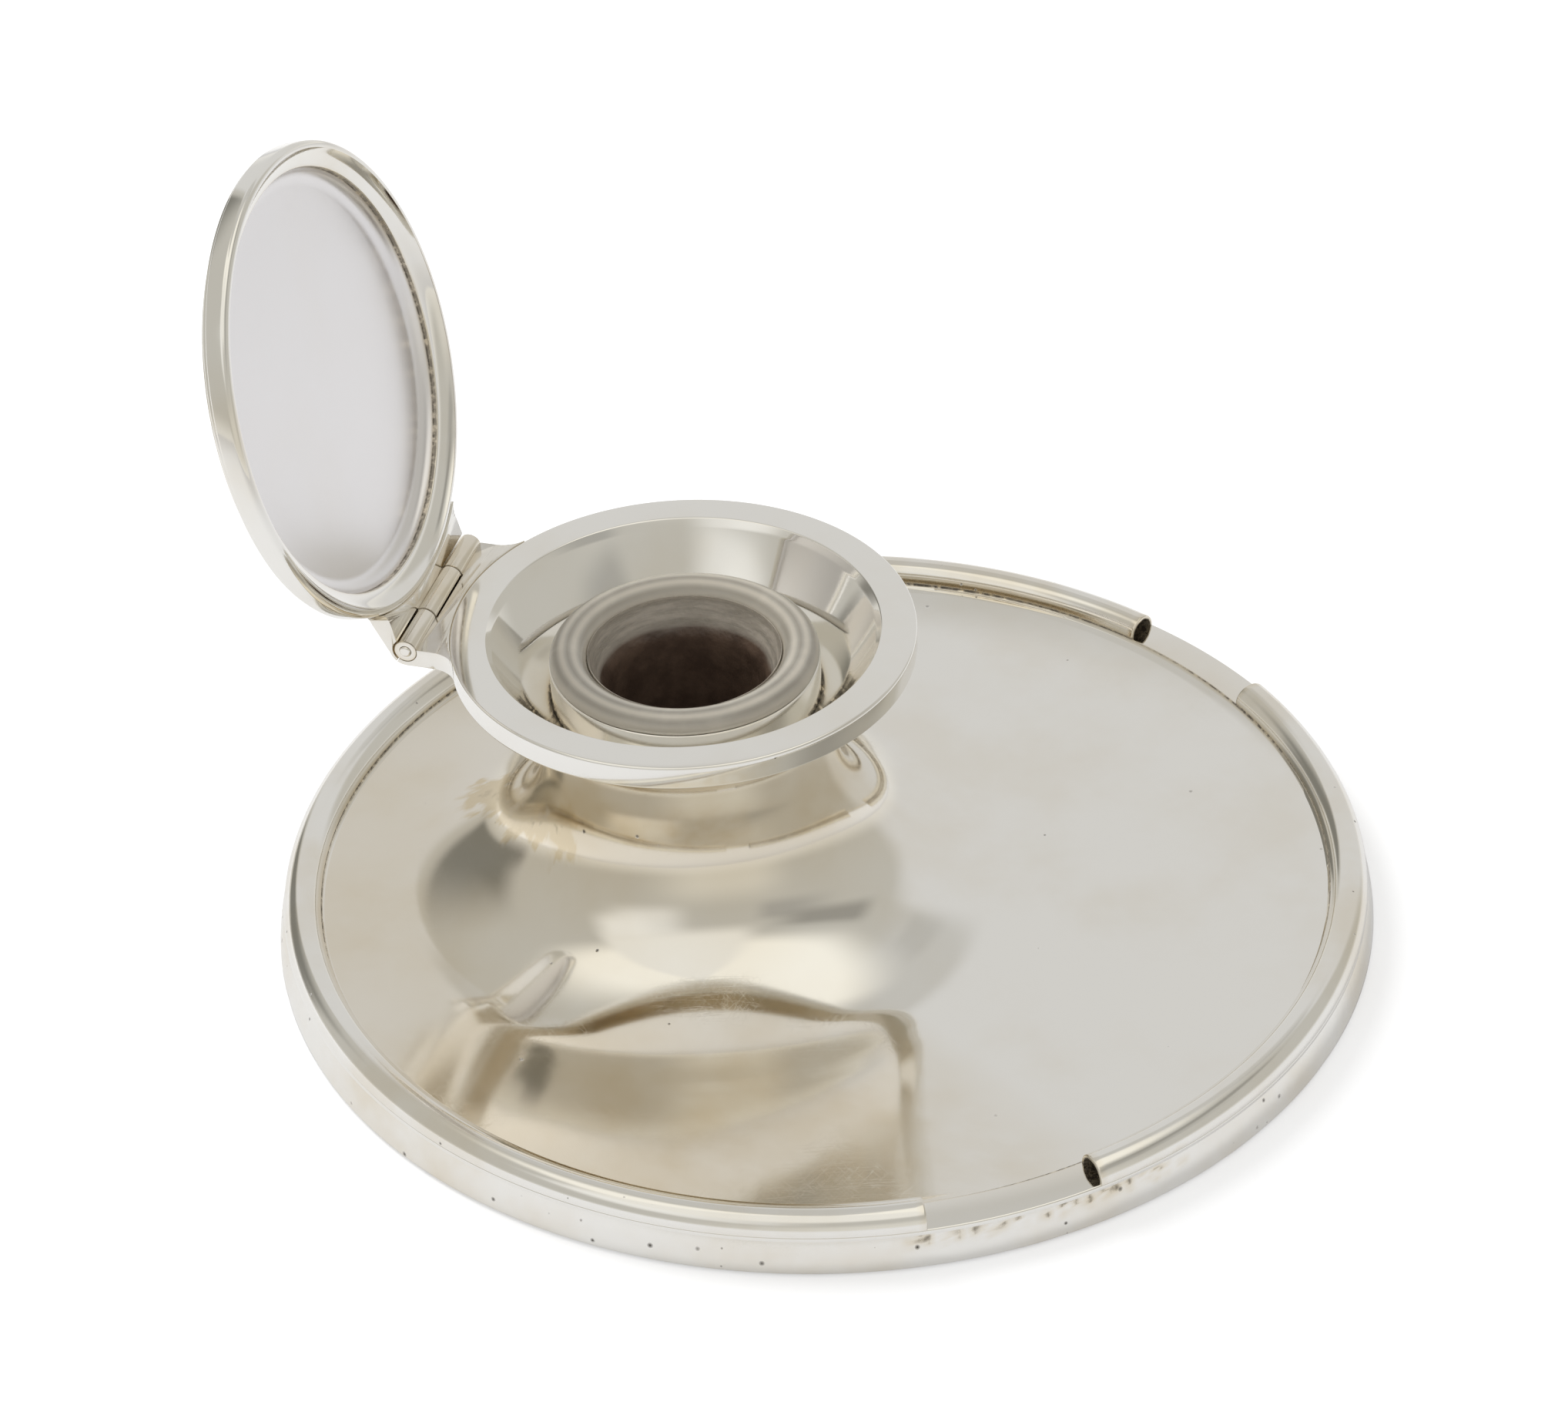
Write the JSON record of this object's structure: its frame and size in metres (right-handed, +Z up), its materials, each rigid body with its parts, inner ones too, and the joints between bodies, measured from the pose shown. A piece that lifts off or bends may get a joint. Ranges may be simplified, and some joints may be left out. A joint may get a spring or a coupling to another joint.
{
  "type": "capstan inkwell",
  "caption": "Capstan-shaped silver desk inkwell: round weighted base with pen rests, waisted neck, glass liner and a hinged round lid that stops past upright.",
  "frame": {"origin": "centre of the round base on the table plane, under the baize", "axes": "+Z up, -Y towards the two pen rests, +Y towards the lid's hinge, +X to the right seen from the pen rests"},
  "size_m": [0.178, 0.1782, 0.1254],
  "materials": {
    "silver": "hand-polished sterling grade silver, fine hairline scratches, tarnish in the corners",
    "hinge_silver": "drawn tube and filed brackets, bright with solder marks",
    "lining_silver": "soft pale grey frosted inner face of the lid, faintly spotted",
    "glass": "thick clear pressed glass, fire polished lip",
    "board": "turned hardwood disc, dark stained",
    "baize": "dark green wool baize, glued",
    "plaster": "cast plaster filling, hidden inside the neck"
  },
  "bodies": {
    "base": {"baize_pad": "baize", "base_board": "board", "plaster_fill": "plaster", "skirt_wall": "silver", "tray_shell": "silver", "rim_bead_front": "silver", "rim_bead_back": "silver", "well_cup": "silver", "collar_dish": "silver", "collar_band": "silver", "body_lug": "hinge_silver", "body_knuckle_left": "hinge_silver", "body_knuckle_right": "hinge_silver", "hinge_pin": "hinge_silver"},
    "liner": {"glass_liner": "glass"},
    "lid": {"lid_rim": "silver", "lid_lining": "lining_silver", "lid_dome": "silver", "lid_lug": "hinge_silver", "lid_knuckle": "hinge_silver"}
  },
  "joints": [
    {"name": "lid_hinge", "type": "hinge", "parent": "base", "child": "lid", "pos_m": [0, 0.063, 0.0501], "axis": [1, 0, 0], "range_deg": [0, 105.4]},
    {"name": "liner_lift", "type": "slide", "parent": "base", "child": "liner", "axis": [0, 0, 1], "range_m": [0, 0.007]}
  ]
}
